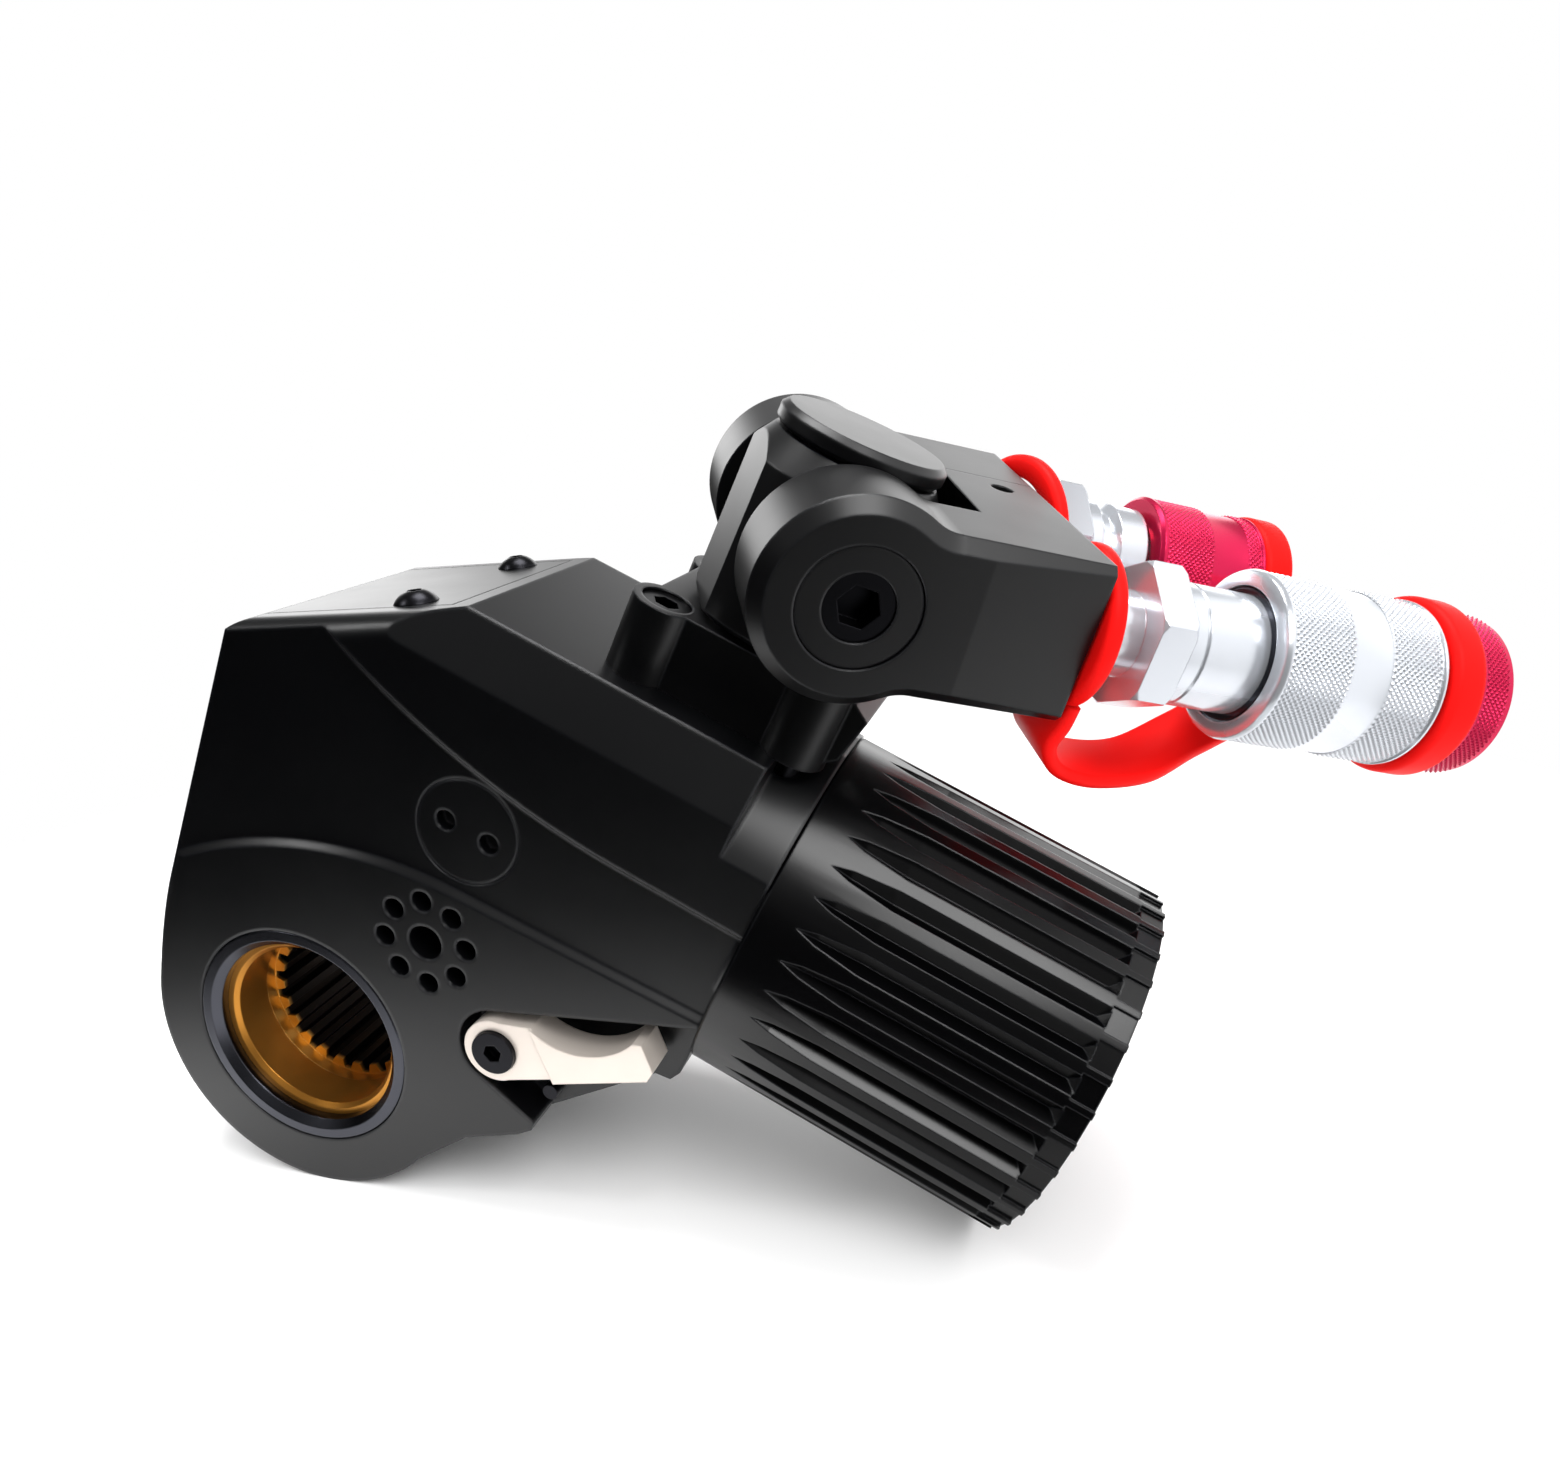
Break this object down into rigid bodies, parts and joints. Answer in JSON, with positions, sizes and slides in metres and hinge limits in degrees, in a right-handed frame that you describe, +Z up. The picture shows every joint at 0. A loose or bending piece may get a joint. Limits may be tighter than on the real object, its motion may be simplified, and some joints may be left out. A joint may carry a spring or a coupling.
{
  "type": "hydraulic torque wrench",
  "caption": "Hydraulic torque wrench head: ratchet drive bore, fluted cylinder end, thumb release lever, two-axis hose swivel and capped quick couplings.",
  "frame": {"origin": "middle of the drive bore", "axes": "+Z up as the tool stands on its nose and cylinder rim; -Y out of the front face along the drive axis; +X towards the cylinder end"},
  "size_m": [0.2447, 0.1076, 0.1463],
  "materials": {
    "black_housing": "satin black coating",
    "black_cap": "satin black coating",
    "black_swivel": "satin black coating",
    "dark_ring": "blued steel",
    "bronze": "turned bronze",
    "black_screws": "black oxide",
    "tool_steel": "machined steel",
    "ratchet_steel": "phosphated steel",
    "chrome_rod": "hard chrome",
    "spring_steel": "drawn wire",
    "seal_rubber": "moulded seal",
    "nickel": "satin nickel",
    "zinc": "bright zinc plate",
    "red_anodised": "crimson anodised",
    "red_rubber": "matt red rubber"
  },
  "bodies": {
    "housing": {"housing": "black_housing", "shroud": "black_housing", "shroud_screws": "black_screws", "cover_discs": "black_housing", "face_rings": "dark_ring", "drive_bushes": "bronze", "end_cap": "black_cap", "end_cap_seal": "seal_rubber", "rod_gland": "bronze", "rod_seal": "seal_rubber", "lever_stop_pin": "black_screws", "swivel_base": "black_swivel", "base_screws": "black_screws", "port_seals": "seal_rubber", "swivel_post": "tool_steel", "post_cap": "black_swivel", "cross_seals": "seal_rubber"},
    "piston": {"piston": "tool_steel", "piston_seal": "seal_rubber", "piston_rod": "chrome_rod", "piston_bolt": "black_screws", "rod_pin": "tool_steel"},
    "drive_plates": {"drive_plates": "tool_steel", "drive_pawl_pin": "tool_steel", "pawl_spring": "spring_steel"},
    "drive_pawl": {"drive_pawl": "tool_steel"},
    "ratchet": {"ratchet_wheel": "ratchet_steel"},
    "lever": {"release_lever": "nickel", "lever_screw": "black_screws", "lever_shaft": "tool_steel", "holding_pawl": "tool_steel"},
    "swivel": {"cross_block": "black_swivel", "tilt_pins": "black_swivel", "tilt_plugs": "black_screws", "tilt_seals": "seal_rubber"},
    "yoke": {"yoke": "black_swivel", "yoke_arm": "black_swivel", "yoke_set_screw": "tool_steel", "coupler_body": "zinc", "coupler_poppet": "bronze", "coupler_poppet_spring": "spring_steel", "coupler_ring": "dark_ring", "sleeve_spring": "spring_steel", "locking_balls": "spring_steel", "nipple_body": "zinc", "nipple_poppet": "bronze", "nipple_poppet_spring": "spring_steel", "plug_strap": "red_rubber", "cap_strap": "red_rubber"},
    "sleeve": {"coupler_sleeve": "zinc"},
    "dust_plug": {"dust_plug": "red_anodised"},
    "dust_cap": {"dust_cap": "red_anodised"}
  },
  "joints": [
    {"name": "piston_stroke", "type": "slide", "parent": "housing", "child": "piston", "axis": [-0.883, 0, 0.4695], "range_m": [0, 0.0272]},
    {"name": "plates_swing", "type": "hinge", "parent": "housing", "child": "drive_plates", "pos_m": [0, 0, 0], "axis": [0, -1, 0], "range_deg": [0, 24.2]},
    {"name": "ratchet_turn", "type": "hinge", "parent": "housing", "child": "ratchet", "pos_m": [0, 0, 0], "axis": [0, -1, 0], "range_deg": [0, 24.2]},
    {"name": "drive_pawl_lift", "type": "hinge", "parent": "drive_plates", "child": "drive_pawl", "pos_m": [0.01259, 0, 0.02932], "axis": [0, 1, 0], "range_deg": [0, 9], "stiffness_Nm_per_rad": 0.2, "deforming": ["pawl_spring"]},
    {"name": "lever_press", "type": "hinge", "parent": "housing", "child": "lever", "pos_m": [0.04392, 0, 0.00315], "axis": [0, 1, 0], "range_deg": [-4.4, 17], "stiffness_Nm_per_rad": 0.3},
    {"name": "swivel_spin", "type": "hinge", "parent": "housing", "child": "swivel", "pos_m": [0.10271, 0, 0.09093], "axis": [0.4695, 0, 0.883], "continuous": true},
    {"name": "yoke_tilt", "type": "hinge", "parent": "swivel", "child": "yoke", "pos_m": [0.10271, 0, 0.09093], "axis": [0.4009, -0.891, -0.2131], "range_deg": [-9, 165]},
    {"name": "sleeve_pull", "type": "slide", "parent": "yoke", "child": "sleeve", "axis": [-0.8505, -0.4484, 0.275], "range_m": [0, 0.004], "stiffness_N_per_m": 900, "deforming": ["sleeve_spring"]},
    {"name": "plug_pull", "type": "slide", "parent": "yoke", "child": "dust_plug", "axis": [0.8505, 0.4484, -0.275], "range_m": [0, 0.03], "deforming": ["plug_strap"]},
    {"name": "cap_pull", "type": "slide", "parent": "yoke", "child": "dust_cap", "axis": [0.8505, 0.4484, -0.275], "range_m": [0, 0.03], "deforming": ["cap_strap"]}
  ],
  "couplings": [
    {"joint": "plates_swing", "follows": "piston_stroke", "rad_per_m": 15.4},
    {"joint": "ratchet_turn", "follows": "piston_stroke", "rad_per_m": 15.4}
  ]
}
